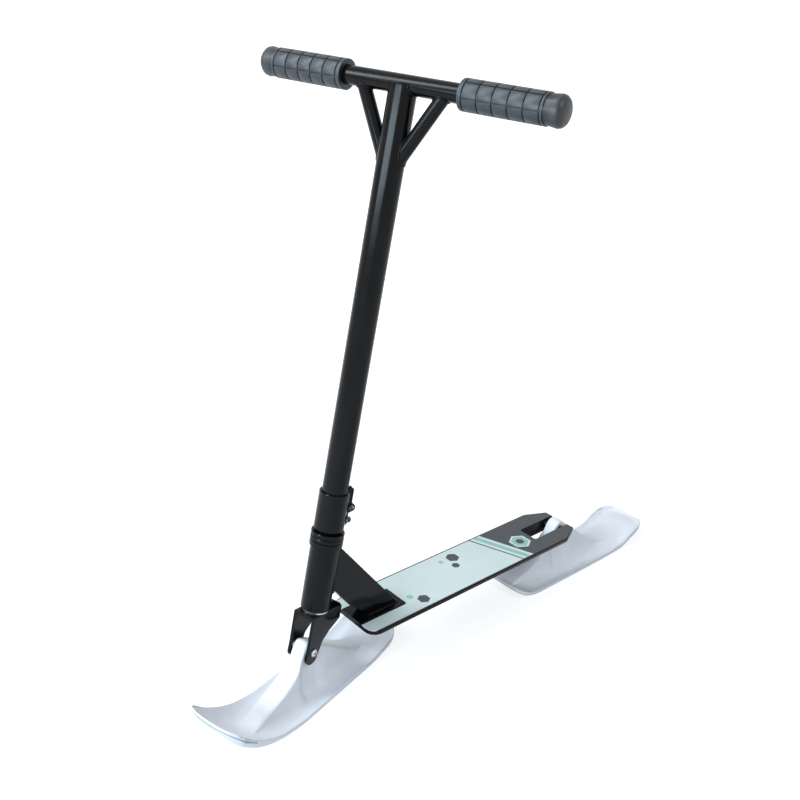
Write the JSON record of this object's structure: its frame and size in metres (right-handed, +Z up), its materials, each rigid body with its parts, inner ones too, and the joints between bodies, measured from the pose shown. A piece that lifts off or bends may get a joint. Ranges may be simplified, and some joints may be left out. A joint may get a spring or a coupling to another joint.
{
  "type": "snow scooter",
  "caption": "Snow scooter with a T-bar, a raked head tube, a narrow standing deck and a short rocking ski at each end.",
  "frame": {"origin": "on the ground under the middle of the scooter's bounding box", "axes": "+Z up, -Y the way the scooter points, +X the rider's left"},
  "size_m": [0.3776, 0.8544, 0.773],
  "materials": {
    "black_paint": "satin",
    "grip_rubber": "matte",
    "white_plastic": "satin",
    "bright_steel": "satin",
    "sheet_print": "matte",
    "bush_plastic": "matte"
  },
  "bodies": {
    "frame": {"deck_plate": "black_paint", "deck_sheet": "sheet_print", "deck_rail_left": "black_paint", "deck_rail_right": "black_paint", "neck_box": "black_paint", "neck_flange": "black_paint", "head_tube": "black_paint", "headset_upper_cup": "black_paint", "headset_lower_cup": "black_paint", "headset_upper_bearing": "bright_steel", "headset_lower_bearing": "bright_steel", "rear_axle_bolt": "bright_steel", "rear_axle_nut": "bright_steel", "rear_spacer_left": "bright_steel", "rear_spacer_right": "bright_steel"},
    "steering": {"bar_downtube": "black_paint", "bar_crosstube": "black_paint", "bar_gusset_left": "black_paint", "bar_gusset_right": "black_paint", "grip_left": "grip_rubber", "grip_right": "grip_rubber", "clamp_collar": "black_paint", "clamp_bolt_upper": "bright_steel", "clamp_bolt_lower": "bright_steel", "clamp_nut_upper": "bright_steel", "clamp_nut_lower": "bright_steel", "headset_lock_nut": "black_paint", "headset_lock_washer": "black_paint", "headset_upper_cone": "black_paint", "fork_steerer": "black_paint", "fork_bracket": "black_paint", "headset_crown_race": "bright_steel", "front_axle_bolt": "bright_steel", "front_axle_nut": "bright_steel", "front_washer_left": "bright_steel", "front_washer_right": "bright_steel"},
    "front_ski": {"front_ski": "white_plastic", "front_ski_bush": "bush_plastic"},
    "rear_ski": {"rear_ski": "white_plastic", "rear_ski_bush": "bush_plastic"}
  },
  "joints": [
    {"name": "steering", "type": "hinge", "parent": "frame", "child": "steering", "pos_m": [0, -0.23861, 0.14769], "axis": [0, 0.1749, 0.9846], "range_deg": [-60, 30]},
    {"name": "front_ski_rock", "type": "hinge", "parent": "steering", "child": "front_ski", "pos_m": [0.00299, -0.26318, 0.07283], "axis": [0.9657, 0.2557, -0.0454], "range_deg": [-10, 10]},
    {"name": "rear_ski_rock", "type": "hinge", "parent": "frame", "child": "rear_ski", "pos_m": [0, 0.22216, 0.069], "axis": [1, 0, 0], "range_deg": [-10, 10]}
  ]
}
